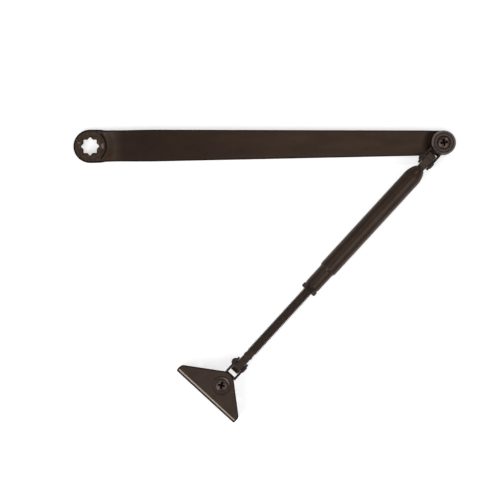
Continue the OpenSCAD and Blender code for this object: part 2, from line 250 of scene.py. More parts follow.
def clear_points(points, loops, margin):
    """The points that are inside the first loop, outside the others, and not close to any."""
    if not points:
        return []
    keep = inside(points, loops[0])
    for hole in loops[1:]:
        keep &= ~inside(points, hole)
    p = np.array(points)
    for loop in loops:
        a = np.array(loop)
        d = np.roll(a, -1, 0) - a
        t = ((p[:, None] - a[None]) * d[None]).sum(2) / np.maximum((d * d).sum(1), 1e-12)
        near = a[None] + np.clip(t, 0, 1)[..., None] * d[None]
        keep &= np.sqrt(((p[:, None] - near) ** 2).sum(2)).min(1) > margin
    return [points[i] for i in np.flatnonzero(keep)]


def grid(x0, x1, y0, y1, dx, dy):
    """Points on a grid whose rows are staggered."""
    nx, ny = max(1, round((x1 - x0) / dx)), max(1, round((y1 - y0) / dy))
    return [(x0 + (i + 0.5 * (j % 2)) * (x1 - x0) / nx, y0 + j * (y1 - y0) / ny)
            for j in range(ny + 1) for i in range(nx + 1)]


def rings(cx, cy, radii, spacing):
    """Points on circles, about one spacing apart."""
    return [p for r in radii for p in circle(cx, cy, r, max(12, round(2 * math.pi * r / spacing)))]


# ---------------- meshes

TURNED_WEAR_AND_HIGHLIGHT = 0.3                               # how far the rounded edges of turned parts are rubbed to bare metal, which also paints a highlight on them


class Build:
    """Points and faces of one piece, and a value at each point: above 0 rubbed to bright bare metal, which
    also paints highlights; below 0 painted shade, darker and duller.
    """

    def __init__(self):
        self.points, self.worn, self.faces = [], [], []

    def row(self, points, worn=0.0):
        """Adds points and returns their numbers."""
        start = len(self.points)
        for p in points:
            self.points.append(tuple(p[:3]))
            self.worn.append(worn)
        return list(range(start, len(self.points)))

    def strip(self, a, b):
        """Quads between two closed rows of the same length; a row of one point makes a fan."""
        n = max(len(a), len(b))
        for i in range(n):
            j = (i + 1) % n
            if len(a) == 1:
                self.faces.append((a[0], b[j], b[i]))
            elif len(b) == 1:
                self.faces.append((a[i], a[j], b[0]))
            else:
                self.faces.append((a[i], a[j], b[j], b[i]))

    def strips(self, rows):
        """Quads between each row and the next."""
        for a, b in zip(rows, rows[1:]):
            self.strip(a, b)

    def fill(self, rows, height, extra=(), up=True):
        """Triangles over the area inside the first row and outside the others, through extra points."""
        ids = [i for row in rows for i in row]
        loops = [[self.points[i][:2] for i in row] for row in rows]
        coords = [Vector(self.points[i][:2]) for i in ids] + [Vector(p) for p in extra]
        edges, base = [], 0
        for row in rows:
            edges += [(base + k, base + (k + 1) % len(row)) for k in range(len(row))]
            base += len(row)
        verts, _, faces, origin, _, _ = delaunay_2d_cdt(coords, edges, [], 0, 1e-6)
        number = []
        for v, source in zip(verts, origin):
            known = [s for s in source if s < len(ids)]
            number.append(ids[known[0]] if known else self.row([(v.x, v.y, height(v.x, v.y))])[0])
        middles = [tuple(sum((verts[i] for i in f), Vector((0, 0))) / 3) for f in faces]
        keep = inside(middles, loops[0])
        for hole in loops[1:]:
            keep &= ~inside(middles, hole)
        for f, ok in zip(faces, keep):
            a, b, c = (verts[i] for i in f)
            longest = max((b - a).length_squared, (c - b).length_squared, (a - c).length_squared)
            if ok and abs((b - a).cross(c - a)) > 1e-4 * longest:
                order = [number[i] for i in f]
                self.faces.append(tuple(order if up else order[::-1]))

    def fold(self, bend):
        """Moves each point by bend(x, y, z)."""
        self.points = [tuple(bend(*p)) for p in self.points]
        return self

    def join(self, other):
        """Adds a copy of another build."""
        start = len(self.points)
        self.points += other.points
        self.worn += other.worn
        self.faces += [tuple(start + i for i in f) for f in other.faces]
        return self


def shell(outline, holes, top, bottom, rim, points=(), rim_low=None, steps=5, edge=-0.9):
    """Plate between two height functions with rounded edges. outline is anticlockwise and each hole
    clockwise; rim(x, y) is the rounding of the upper edge, and edge the value of that edge: below 0 a
    painted shade that darkens it, above 0 rubbed metal that also paints a highlight."""
    rim_low = rim_low or rim
    b = Build()
    tops, bottoms = [], []
    for loop in [outline, *holes]:
        side = mitres(loop)
        rows = []
        for radius_at, height, sign in ((rim_low, bottom, 1), (rim, top, -1)):
            radius = [radius_at(*p) for p in loop]
            inner = [(p[0] + m.x * r, p[1] + m.y * r) for p, m, r in zip(loop, side, radius)]
            level = [height(*q) for q in inner]
            angles = [QUARTER * k / steps for k in range(steps + 1)] if max(radius) > 0 else [0.0]
            for t in angles[::-1] if sign > 0 else angles:
                # The rounded upper edge takes edge; the default below 0 paints it dark as painted shade.
                rows.append(b.row(
                    [(p[0] + m.x * r * (1 - math.cos(t)), p[1] + m.y * r * (1 - math.cos(t)),
                      z + sign * r * (1 - math.sin(t))) for p, m, r, z in zip(loop, side, radius, level)],
                    edge * math.cos(t) ** 0.25 if sign < 0 and len(angles) > 1 else 0.0))
        b.strips(rows)
        bottoms.append(rows[0])
        tops.append(rows[-1])
    for rows, height, up in ((tops, top, True), (bottoms, bottom, False)):
        loops = [[b.points[i][:2] for i in row] for row in rows]
        b.fill(rows, height, clear_points(list(points), loops, 0.22), up)
    return b


def ring_at(r, z, count):
    """Points of a level circle round the z axis."""
    return [(x, y, z) for x, y in circle(0, 0, r, count)]


def lathe(profile, segments=72):
    """Turned solid from a closed [radius, z, wear] profile, the third value being rubbed wear that also
    paints a highlight; points on the axis become one vertex.
    """
    b = Build()
    rows = []
    for r, z, worn in profile:
        ring = [(0, 0, z)] if r < 1e-6 else ring_at(r, z, segments)
        rows.append(b.row(ring, TURNED_WEAR_AND_HIGHLIGHT * worn))
    for i, row in enumerate(rows):
        after = rows[(i + 1) % len(rows)]
        if len(row) > 1 or len(after) > 1:
            b.strip(row, after)
    return b


def piece(name, build, where, material, body, stands_for=(), flat_edges=34, weighted=True):
    """Makes the object at a place and ties it to its body. stands_for names the CAD nodes it replaces;
    edges sharper than flat_edges degrees are not smoothed."""
    mesh = bpy.data.meshes.new(name)
    mesh.from_pydata([where @ Vector(p) for p in build.points], [], build.faces)
    mesh.validate()
    # Each point's value: above 0 rubbed bare metal that also paints a highlight, below 0 painted shade.
    worn = mesh.attributes.new("worn", "FLOAT", "POINT")
    worn.data.foreach_set("value", np.array(build.worn, np.float32))
    bm = bmesh.new()
    bm.from_mesh(mesh)
    bmesh.ops.remove_doubles(bm, verts=bm.verts, dist=1e-7)
    bmesh.ops.recalc_face_normals(bm, faces=bm.faces)
    loose = [v for v in bm.verts if not v.link_faces]
    bmesh.ops.delete(bm, geom=loose, context="VERTS")
    bm.to_mesh(mesh)
    bm.free()
    for polygon in mesh.polygons:
        polygon.use_smooth = True
    mesh.set_sharp_from_angle(angle=math.radians(flat_edges))
    mesh.materials.append(material)
    obj = bpy.data.objects.new(name, mesh)
    bpy.context.scene.collection.objects.link(obj)
    if weighted:
        modifier = obj.modifiers.new("even_normals", "WEIGHTED_NORMAL")
        modifier.keep_sharp = True
    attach(obj, body)
    if stands_for:
        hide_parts(*stands_for)
    return obj


# ---------------- materials


class Nodes:
    """Short forms for a material's node tree. Object coordinates are metres in the row frame."""

    def __init__(self, name):
        self.material = bpy.data.materials.new(name)
        self.material.use_nodes = True
        self.tree = self.material.node_tree
        self.shader = self.tree.nodes["Principled BSDF"]
        self.where = self.tree.nodes.new("ShaderNodeTexCoord").outputs["Object"]

    def link(self, a, b):
        self.tree.links.new(a, b)

    def noise(self, size_mm, detail=3.0, roughness=0.55, stretch=None):
        """Noise of about one size; stretch is an angle about Z and the scale along each turned axis."""
        n = self.tree.nodes.new("ShaderNodeTexNoise")
        n.inputs["Scale"].default_value = 1000 / size_mm
        n.inputs["Detail"].default_value = detail
        n.inputs["Roughness"].default_value = roughness
        if stretch is None:
            self.link(self.where, n.inputs["Vector"])
        else:
            turn, scale = stretch
            m = self.tree.nodes.new("ShaderNodeMapping")
            m.vector_type = "TEXTURE"
            m.inputs["Rotation"].default_value = (0, 0, turn)
            m.inputs["Scale"].default_value = scale
            self.link(self.where, m.inputs["Vector"])
            self.link(m.outputs[0], n.inputs["Vector"])
        return n.outputs["Fac"]

    def ramp(self, source, *stops):
        """Colour ramp from (position, colour) stops; a plain number is a grey."""
        n = self.tree.nodes.new("ShaderNodeValToRGB")
        ramp = n.color_ramp
        while len(ramp.elements) < len(stops):
            ramp.elements.new(0.5)
        for element, (position, colour) in zip(ramp.elements, stops):
            element.position = position
            element.color = (colour,) * 3 + (1,) if isinstance(colour, float) else (*colour, 1)
        self.link(source, n.inputs["Fac"])
        return n.outputs["Color"]

    def mix(self, factor, a, b, mode="MIX"):
        """Mixes two colours; each argument is a socket, a number or a colour."""
        n = self.tree.nodes.new("ShaderNodeMix")
        n.data_type = "RGBA"
        n.blend_type = mode
        for socket, value in ((n.inputs["Factor"], factor), (n.inputs["A"], a), (n.inputs["B"], b)):
            if isinstance(value, tuple):
                socket.default_value = (*value, 1)
            elif isinstance(value, float):
                socket.default_value = value
            else:
                self.link(value, socket)
        return n.outputs["Result"]

    def bump(self, height, depth_mm, strength, after=None):
        """Surface relief from a height socket, on top of an earlier relief."""
        n = self.tree.nodes.new("ShaderNodeBump")
        n.inputs["Strength"].default_value = strength
        n.inputs["Distance"].default_value = depth_mm * MM
        self.link(height, n.inputs["Height"])
        if after is not None:
            self.link(after, n.inputs["Normal"])
        return n.outputs["Normal"]

    def negative(self, source):
        n = self.tree.nodes.new("ShaderNodeMath")
        n.operation = "MULTIPLY"
        n.inputs[1].default_value = -1.0
        self.link(source, n.inputs[0])
        return n.outputs[0]

    def attribute(self, name):
        n = self.tree.nodes.new("ShaderNodeAttribute")
        n.attribute_name = name
        return n.outputs["Fac"]

    def along_arm(self, start_mm, end_mm):
        """1 before start_mm along the main arm, 0 past end_mm."""
        split = self.tree.nodes.new("ShaderNodeSeparateXYZ")
        self.link(self.where, split.inputs[0])
        n = self.tree.nodes.new("ShaderNodeMapRange")
        n.inputs["From Min"].default_value = start_mm * MM
        n.inputs["From Max"].default_value = end_mm * MM
        n.inputs["To Min"].default_value = 1.0
        n.inputs["To Max"].default_value = 0.0
        self.link(split.outputs["X"], n.inputs["Value"])
        return n.outputs["Result"]

    def attach(self, **sockets):
        """Sets or links the shader's own sockets and returns the material."""
        for key, value in sockets.items():
            socket = self.shader.inputs[key.replace("_", " ")]
            if isinstance(value, (int, float)):
                socket.default_value = value
            else:
                self.link(value, socket)
        return self.material


WARM, NEUTRAL = (1.0, 0.92, 0.86), (1.0, 1.0, 1.0)       # tints of the reflections
PAINTED_SHADE_TONE = (0.49, 0.36, 0.26)                  # what the paint is multiplied by for the painted shade on the head's side of the bar
PIT_COLOUR = (0.010, 0.006, 0.005)
# Painted shade: near-black colour and low gloss on the points marked below 0.
PAINTED_SHADE_COLOUR = (0.006, 0.004, 0.003)
PAINTED_SHADE_GLOSS = 0.02
BARE_METAL = 0.85


def bronze_paint(name, dark, light, bare_and_highlight, rough, cast=0.0, cast_to_mm=None, metal=0.0, gloss=0.2,
                 blotch_mm=9.0, stretch=None, bar_shade_mm=None, tint=WARM):
    """Satin bronze paint: cloudy colour, a fine orange peel, bare metal on rubbed edges that also paints
    highlights there, and painted shade where points are marked below 0.
    dark and light are the ends of its colour and rough of its roughness; the third colour is the bare
    metal's, used also for its painted highlights.
    cast adds the pitted, speckled skin of a forging, everywhere or only up to a distance along the arm.
    The two spans along the arm give a painted shade, the bar darker on the head's side: where it starts,
    and where it has faded out."""
    n = Nodes(name)
    cloud = n.noise(blotch_mm, 4.0, 0.6, stretch)
    peel = n.noise(1.6, 2.0, 0.45)
    colour = n.ramp(cloud, (0.34, dark), (0.68, light))
    colour = n.mix(n.ramp(n.noise(0.9, 2.0, 0.5), (0.5, 0.0), (0.8, 0.5)), colour, light)
    normal = n.bump(peel, 0.05, 0.3)
    # Painted shade: the bar darker from the neck, fading out towards the elbow.
    if bar_shade_mm:
        neck_mm, bar_mm = bar_shade_mm
        bar_shade = n.mix(n.along_arm(*neck_mm), n.along_arm(*bar_mm), (0.0, 0.0, 0.0))
        colour = n.mix(bar_shade, colour, n.mix(1.0, colour, PAINTED_SHADE_TONE, "MULTIPLY"))
    if cast:
        skin = n.ramp(n.noise(2.6, 3.0, 0.6), (0.36, 0.0), (0.64, 1.0))
        fleck = n.ramp(n.noise(2.1, 2.0, 0.5), (0.64, 0.0), (0.72, cast))
        if cast_to_mm:
            mask = n.along_arm(cast_to_mm, cast_to_mm + 9)
            skin = n.mix(mask, (0.5, 0.5, 0.5), skin)
            fleck = n.mix(1.0, fleck, mask, "MULTIPLY")
        colour = n.mix(n.ramp(skin, (0.0, 0.45), (0.8, 0.0)), colour, PIT_COLOUR)
        colour = n.mix(fleck, colour, bare_and_highlight)
        normal = n.bump(skin, 0.3, cast, normal)
    # Rubbed bare metal above 0, which also paints highlights; painted shade below 0.
    worn = n.attribute("worn")
    edge = n.mix(n.noise(3.0, 3.0), (0.5, 0.5, 0.5), (1.0, 1.0, 1.0))
    rub_and_highlight = n.ramp(n.mix(1.0, edge, worn, "MULTIPLY"), (0.2, 0.0), (0.6, 0.85))
    painted_shade = n.ramp(n.negative(worn), (0.1, 0.0), (0.8, 0.95))
    colour = n.mix(painted_shade, colour, PAINTED_SHADE_COLOUR)
    colour = n.mix(rub_and_highlight, colour, bare_and_highlight)
    bare = n.mix(rub_and_highlight, (metal,) * 3, (BARE_METAL,) * 3)
    roughness = n.ramp(n.noise(5.0, 3.0), (0.3, rough[0]), (0.7, rough[1]))
    shine = n.mix(painted_shade, (gloss,) * 3, (PAINTED_SHADE_GLOSS,) * 3)
    n.shader.inputs["Specular Tint"].default_value = (*tint, 1)
    return n.attach(Base_Color=colour, Roughness=roughness, Normal=normal, Metallic=bare,
                    Specular_IOR_Level=shine)


def turned_metal(name, dark, light, rough, groove, metal=1.0, gloss=0.5):
    """Machined or plated metal with fine streaks. groove is their scale along the forearm, across it
    and up; the other arguments are as for the paint."""
    n = Nodes(name)
    colour = n.ramp(n.noise(2.5, 3.0), (0.3, dark), (0.72, light))
    streak = n.noise(0.5, 2.0, 0.5, (FORE_DIR, groove))
    normal = n.bump(streak, 0.03, 0.3)
    roughness = n.ramp(n.noise(1.8, 2.0), (0.3, rough[0]), (0.7, rough[1]))
    return n.attach(Base_Color=colour, Roughness=roughness, Normal=normal, Metallic=metal,
                    Specular_IOR_Level=gloss)


# The last two spans give the bar its painted shade on the head's side.
ARM_PAINT = bronze_paint("bronze_paint_bar", (0.041, 0.023, 0.014), (0.057, 0.033, 0.021),
                         (0.22, 0.165, 0.13), (0.34, 0.46), cast=0.7, cast_to_mm=9,
                         stretch=(0, (4.0, 1.0, 1.0)), bar_shade_mm=((22, 30), (60, 190)))
TUBE_PAINT = bronze_paint("bronze_paint_tube", (0.029, 0.016, 0.010), (0.042, 0.025, 0.016),
                          (0.14, 0.10, 0.08), (0.28, 0.34), blotch_mm=14.0)
FOOT_PAINT = bronze_paint("bronze_paint_foot", (0.034, 0.019, 0.013), (0.049, 0.030, 0.021),
                          (0.30, 0.26, 0.22), (0.34, 0.46))
CLEVIS_PAINT = bronze_paint("bronze_paint_clevis", (0.022, 0.014, 0.011), (0.038, 0.025, 0.021),
                            (0.12, 0.09, 0.075), (0.32, 0.42), blotch_mm=4.0)
CAP_PAINT = bronze_paint("bronze_cap_paint", (0.056, 0.040, 0.034), (0.084, 0.062, 0.054),
                         (0.26, 0.21, 0.18), (0.30, 0.40), blotch_mm=5.0, tint=NEUTRAL)
SCREW_FINISH = bronze_paint("bronze_screw_finish", (0.060, 0.041, 0.034), (0.095, 0.068, 0.058),
                            (0.30, 0.23, 0.20), (0.24, 0.32), metal=0.5, blotch_mm=2.5)
NUT_FINISH = bronze_paint("bronze_nut_finish", (0.026, 0.016, 0.013), (0.044, 0.028, 0.023),
                          (0.16, 0.12, 0.10), (0.34, 0.44), blotch_mm=3.0)
ROD_FINISH = turned_metal("bronze_rod_finish", (0.030, 0.018, 0.012), (0.054, 0.034, 0.024),
                          (0.38, 0.48), (1.0, 0.15, 0.15), metal=0.1, gloss=0.2)
DARK_SPRING = turned_metal("dark_spring_steel", (0.020, 0.015, 0.013), (0.032, 0.025, 0.022),
                           (0.40, 0.50), (0.12, 1.0, 1.0), metal=0.1, gloss=0.15)
PLATED = turned_metal("zinc_plated_steel", (0.36, 0.355, 0.33), (0.48, 0.47, 0.44),
                      (0.26, 0.38), (0.12, 1.0, 1.0))

# ---------------- main arm


def star_loop():
    """Eight-pointed star of two squares, anticlockwise."""
    half, eighth = STAR_SIDE / 2, math.pi / 8
    tip, notch = half * math.sqrt(2), half / math.cos(eighth)
    corners = []
    for k in range(16):
        a = (k + 2) * eighth
        r = notch if k % 2 else tip
        corners.append((r * math.cos(a), r * math.sin(a)))
    return resample(corners, 0.9)


def arm_top(x, y):
    """Height of the arm's upper face: flat head, ridge round the socket, ramp, bar, dip at the elbow."""
    r = math.hypot(x, y)
    bar = (BAR_TOP - HEAD_T) * step(r, RIDGE_R + 2.0, RIDGE_R + 11.5)
    ridge = RIDGE_H * (step(r, RIDGE_R - 1.0, RIDGE_R - 0.1) - 0.9 * step(r, RIDGE_R + 0.2, RIDGE_R + 2.8))
    neck = HEAD_T + (ridge + bar) * step(x, *NECK_X)
    from_plate = step(math.hypot(x - ARM_LENGTH, y), *PLATE_EDGE)
    return PLATE_TOP + (neck - PLATE_TOP) * from_plate


def arm_bottom(x, y):
    """Height of the arm's lower face: it rises behind the head and drops a little at the elbow."""
    rise = BAR_LOW * step(math.hypot(x, y), HEAD_R - 1, HEAD_R + 9) * step(x, *NECK_X)
    from_plate = step(math.hypot(x - ARM_LENGTH, y), *PLATE_EDGE)
    return PLATE_LOW + (rise - PLATE_LOW) * from_plate


def arm_outline():
    """Head circle and elbow circle joined by straight edges, with points close together near each end."""
    turn, touch, end = tangent((0, 0, HEAD_R), (ARM_LENGTH, 0, ARM_END_R))
    slope = math.degrees(turn)
    far = arc(ARM_LENGTH, 0, ARM_END_R, slope, -slope, 44)
    near = arc(0, 0, HEAD_R, -slope, 360 + slope, 96)
    by_head = [0.45 * k for k in range(1, 60)]
    by_bar = [x for x in (31 + 5.1 * k for k in range(50)) if x < ARM_LENGTH - 30]
    by_elbow = [ARM_LENGTH - 27 + 0.9 * k for k in range(30)]
    low = []
    for x in by_head + by_bar + by_elbow:
        p = Vector(touch).lerp(Vector(end), x / ARM_LENGTH)
        narrower = NECK_DIP * step(p.x, 8.5, 14.5) * (1 - step(p.x, 22, 60))
        low.append((p.x, p.y * (1 - narrower)))
    high = [(x, -y) for x, y in low[::-1]]
    return low + far + high + near


def star_socket_and_bar():
    """The forging: a filled outline with the star socket and the post's bore, with a painted highlight on
    its ridge and painted shade outside the ridge and beside the cap.
    """
    socket = star_loop()[::-1]
    bore = circle(ARM_LENGTH, 0, POST_R + GAP, 48, clockwise=True)
    neck_x, socket_reach, bore_reach = 4.2, 9, 6
    by_ridge = [0.3 * k for k in range(-4, 2)] + [0.7 + 0.4 * k for k in range(6)]
    by_ramp = [3.2, 3.9, 4.7, 5.5, 6.4, 7.4, 8.6, 9.9, 11.4]
    by_plate = [7.5, 9.5, 11.5, 12.4, *range(13, 22)]
    neck_radii = [RIDGE_R + d for d in by_ridge + by_ramp]
    points = [p for p in rings(0, 0, neck_radii, 0.62) if p[0] > neck_x]
    points += [p for p in rings(0, 0, [10.4, 11.6, 13.4], 1.6) if p[0] < neck_x]
    points += rings(0, 0, [9.4], 1.6)
    points += rings(ARM_LENGTH, 0, by_plate, 1.1)
    points += grid(26, ARM_LENGTH - 24, -16, 16, 5.1, 4)

    def at_bore(x, y):
        return math.dist((x, y), (ARM_LENGTH, 0)) < bore_reach

    def rim(x, y):
        if at_bore(x, y):
            return 0.0
        if math.hypot(x, y) < socket_reach:
            return STAR_CHAMFER
        return BAR_RIM + (HEAD_RIM - BAR_RIM) * (1 - step(x, 4, 24))

    def rim_low(x, y):
        return 0.0 if at_bore(x, y) else 0.6 * rim(x, y)

    build = shell(arm_outline(), [socket, bore], arm_top, arm_bottom, rim, points, rim_low)
    # Painted highlight on the ridge beside the bar; painted shade in the groove outside the ridge and on
    # the plate beside the cap. The rounded upper edges keep their painted shade.
    for i, (x, y, z) in enumerate(build.points):
        r = math.hypot(x, y)
        if z > HEAD_T - 0.1 and x > 9.5 and build.worn[i] > -0.1:
            ridge = step(r, RIDGE_R - 1.6, RIDGE_R - 1.2) * (1 - step(r, RIDGE_R - 0.4, RIDGE_R))
            ridge_highlight = ridge * (1 - step(abs(y), 1.6, 3.4))
            groove = step(r, RIDGE_R + 0.2, RIDGE_R + 1.4) * (1 - step(r, RIDGE_R + 2.4, RIDGE_R + 3.2))
            shade_beside_cap = 1 - step(math.hypot(x - ARM_LENGTH, y), 13.5, 20)
            build.worn[i] = ridge_highlight - 0.7 * groove - 0.6 * shade_beside_cap
    return build


piece("main_arm_forging", star_socket_and_bar(), ARM, ARM_PAINT, "main_arm", ["main_arm"])

# Raised position figures, each a set of strokes in a box one unit high
FIGURES = {
    "1": [[(-0.16, 0.30), (0.03, 0.47), (0.03, -0.47)]],
    "2": [[(-0.27, 0.27), (-0.20, 0.41), (-0.02, 0.47), (0.18, 0.41), (0.26, 0.24), (0.20, 0.06),
           (0.0, -0.16), (-0.27, -0.44)], [(-0.27, -0.45), (0.28, -0.45)]],
    "3": [[(-0.25, 0.36), (-0.10, 0.46), (0.10, 0.45), (0.23, 0.34), (0.23, 0.17), (0.10, 0.05),
           (-0.06, 0.03)], [(-0.06, 0.03), (0.13, 0.0), (0.27, -0.13), (0.26, -0.31), (0.12, -0.44),
                            (-0.10, -0.46), (-0.26, -0.36)]],
    "4": [[(0.12, -0.47), (0.12, 0.46), (-0.28, -0.17), (0.31, -0.17)]],
}
FIGURE_H, FIGURE_AT = 4.2, 11.3                 # height, and distance of the middle from the socket's
STROKE_R, STROKE_RELIEF = 0.36, 0.8             # relief is the share of the radius that stands up
FIGURE_VOXEL = 0.085


def stroke(points, sides=10):
    """Round bar along a line of points, closed at both ends and flattened to a low relief."""
    line = [Vector(p) for p in points]
    dense = [a.lerp(b, k / 6) for a, b in zip(line, line[1:]) for k in range(6)] + [line[-1]]
    for _ in range(3):
        smooth = [(a + 2 * b + c) / 4 for a, b, c in zip(dense, dense[1:], dense[2:])]
        dense = [dense[0], *smooth, dense[-1]]
    b = Build()
    rows = []
    for i, p in enumerate(dense):
        way = (dense[min(i + 1, len(dense) - 1)] - dense[max(i - 1, 0)]).normalized()
        side = Vector((-way.y, way.x))
        section = []
        for across, up in circle(0, 0, STROKE_R, sides):
            q = p + side * across
            section.append((q.x, q.y, HEAD_T + STROKE_RELIEF * up))
        # The raised figures are rubbed a little, which also paints highlights on them.
        rows.append(b.row(section, 0.5))

    def end_point(end, before):
        q = end + (end - before).normalized() * STROKE_R
        return b.row([(q.x, q.y, HEAD_T)])

    b.strips([end_point(dense[0], dense[1]), *rows, end_point(dense[-1], dense[-2])])
    return b


def figures():
    """The four position figures, their tops outwards, beside four of the star's points."""
    b = Build()
    for figure, angle in (("1", 270), ("2", 225), ("3", 135), ("4", 90)):
        a = math.radians(angle)
        centre = Vector((math.cos(a), math.sin(a))) * FIGURE_AT
        turn = Matrix.Rotation(a - QUARTER, 2)
        for line in FIGURES[figure]:
            b.join(stroke([centre + turn @ (Vector(p) * FIGURE_H) for p in line]))
    return b


figure_piece = piece("socket_position_figures", figures(), ARM, ARM_PAINT, "main_arm",
                     weighted=False)
merge = figure_piece.modifiers.new("one_skin", "REMESH")
merge.mode = "VOXEL"
merge.voxel_size = FIGURE_VOXEL * MM
merge.use_smooth_shade = True

# ---------------- swivel hardware


def flat_ring(inner, outer, low, high, rounding=0.12):
    """Washer between two radii and two heights."""
    return lathe(fillet([(inner, low, rounding), (outer, low, rounding),
                         (outer, high, rounding), (inner, high, rounding)], 2))


def washer(z):
    """Bearing washer that stands on z."""
    return flat_ring(POST_R + 2 * GAP, WASHER_R, z, z + WASHER_T)


def post(flange_z, flange_far, body_z):
    """Flanged bush: its flange is from flange_z to flange_far and its body ends at body_z."""
    flange_r = 7.5
    return lathe(fillet([(SCREW_R, flange_far, 0.2), (flange_r, flange_far, 0.5), (flange_r, flange_z, 0.3),
                         (POST_R, flange_z, 0), (POST_R, body_z, 0.1), (SCREW_R, body_z, 0.1)], 4))


def folded(along, up, fold_at, bend_r):
    """Moves a point of a flat blank that is folded by a quarter turn, with bend_r the outside radius.
    along is the distance along the blank and up the distance from the face that ends up outside."""
    if along <= fold_at:
        return along, up
    turn = min((along - fold_at) / bend_r, QUARTER)
    past = max(0.0, along - fold_at - bend_r * QUARTER)
    r = bend_r - up
    return fold_at + r * math.sin(turn), bend_r - r * math.cos(turn) + past


def stirrup():
    """U-shaped clevis made as a flat blank whose two ears are folded up."""
    bend_r = 2.8                                   # outside radius of each fold
    fold_at = EAR_GAP + EAR_T - bend_r
    fold_end = fold_at + bend_r * QUARTER
    rise = BASE_Z + bend_r - fold_end              # ear height less distance along the blank
    base_r, base_end = 10.5, 13.2                  # round end, and straight end between the ears
    ear_start, heel_r, heel_below_pin = 10.8, 1.5, 1.5
    notch = (9.3, 4.9)                             # where the ear's back edge meets the round end
    pin = (PIN_REACH, PIN_Z - rise, EAR_R)
    heel = (ear_start + heel_r, PIN_Z - heel_below_pin - rise, heel_r)
    lower = tangent((base_end, fold_end, 0), pin)
    upper = tangent(pin, heel)
    start, stop = math.degrees(lower[0]), math.degrees(upper[0])
    half = [(base_end, 0.0), (base_end, 1.6)]
    half += [(base_end, fold_at + (fold_end - fold_at) * k / 6) for k in range(6)]
    half += resample([(base_end, fold_end), lower[2]], 1.0)[:10]
    half += arc(*pin, start, stop + (360 if stop < start else 0), 40)
    half += [tuple(Vector(upper[1]).lerp(Vector(upper[2]), k / 9)) for k in range(1, 9)]
    half += arc(*heel, stop % 360, 180, 7)
    half += [(ear_start, y) for y in np.linspace(heel[1] - 0.8, fold_at + 2.6, 9)]
    back = fillet([(ear_start, fold_at + 2.0, 0), (ear_start, 5.0, 0.8), (*notch, 0)], 4, closed=False)
    half += [(x, y) for x, y, _ in back]
    after_notch = math.degrees(math.atan2(notch[1], notch[0])) + 2
    half += arc(0, 0, base_r, after_notch, 180, 44)[:-1]
    outline = half + [(-base_r, 0.0)] + [(x, -y) for x, y in half[:0:-1]]

    def thick(x, y):
        """The ears are thinner than the base."""
        return STIRRUP_T + (EAR_T - STIRRUP_T) * step(abs(y), fold_at, fold_end)

    def bend(x, y, up):
        along, height = folded(abs(y), up, fold_at, bend_r)
        return x, math.copysign(along, y), BASE_Z + height

    holes = [circle(0, 0, POST_R + GAP, 48, True)]
    holes += [circle(PIN_REACH, s * (PIN_Z - rise), RIVET_R + 0.02, 32, True) for s in (1, -1)]
    fold_points = grid(10.4, 14.6, fold_at - 0.6, fold_end + 0.6, 0.7, 0.55)
    points = [(x, s * y) for s in (1, -1) for x, y in fold_points]
    points += rings(0, 0, [7.5], 2)

    def rim(x, y):
        at_post = math.hypot(x, y) < 6
        at_pin = math.dist((x, abs(y)), pin[:2]) < 3
        return 0.0 if at_post or at_pin else 0.45

    # edge -0.3 paints a light painted shade on the rounded edges.
    return shell(outline, holes, thick, lambda x, y: 0.0, rim, points, steps=3, edge=-0.3).fold(bend)


def rivet():
    """Cross rivet: domed head on one side, flattened tail on the other."""
    grip = EAR_GAP + EAR_T
    head_r, head_h, tail_r, tail_h = 3.6, 2.4, 3.2, 0.9
    ball = (head_r ** 2 + head_h ** 2) / (2 * head_h)
    low = math.degrees(math.asin((ball - head_h) / ball))
    dome = [(p[0], p[1], 0.3) for p in arc(0, grip + head_h - ball, ball, low, 90, 14)]
    dome[-1] = (0.0, grip + head_h, 0.3)
    tail = fillet([(0, -grip - tail_h, 0), (tail_r - 0.25, -grip - tail_h, 0.5), (tail_r, -grip, 0.1),
                   (RIVET_R, -grip, 0), (RIVET_R, grip, 0)], 4, closed=False)
    return lathe(tail + dome, 56)


def cross_pit(half_w, tip, depth, turn, crown, level):
    """Rows of a cross recess, downwards: narrower and shorter towards the floor. The first row lies on
    the crown, and the others are level."""
    levels = ((1.0, 0.0), (0.96, 0.3), (0.72, 0.75), (0.5, 1.0))     # share of the tip and of the depth
    rows = []
    for share, drop in levels:
        w, t = half_w * (0.72 + 0.28 * share), tip * share
        quarter = [(t, -w, 0.22), (t, w, 0.22), (w * 1.25, w * 1.25, 0.3)]
        corners = [(x * c - y * s, x * s + y * c, r) for c, s in ((1, 0), (0, 1), (-1, 0), (0, -1))
                   for x, y, r in quarter]
        row = []
        for corner in fillet(corners, 3)[::-1]:
            x, y = Matrix.Rotation(turn, 2) @ Vector(corner[:2])
            row.append((x, y, crown(x, y) if drop == 0 else level - depth * drop))
        rows.append(row)
    return rows


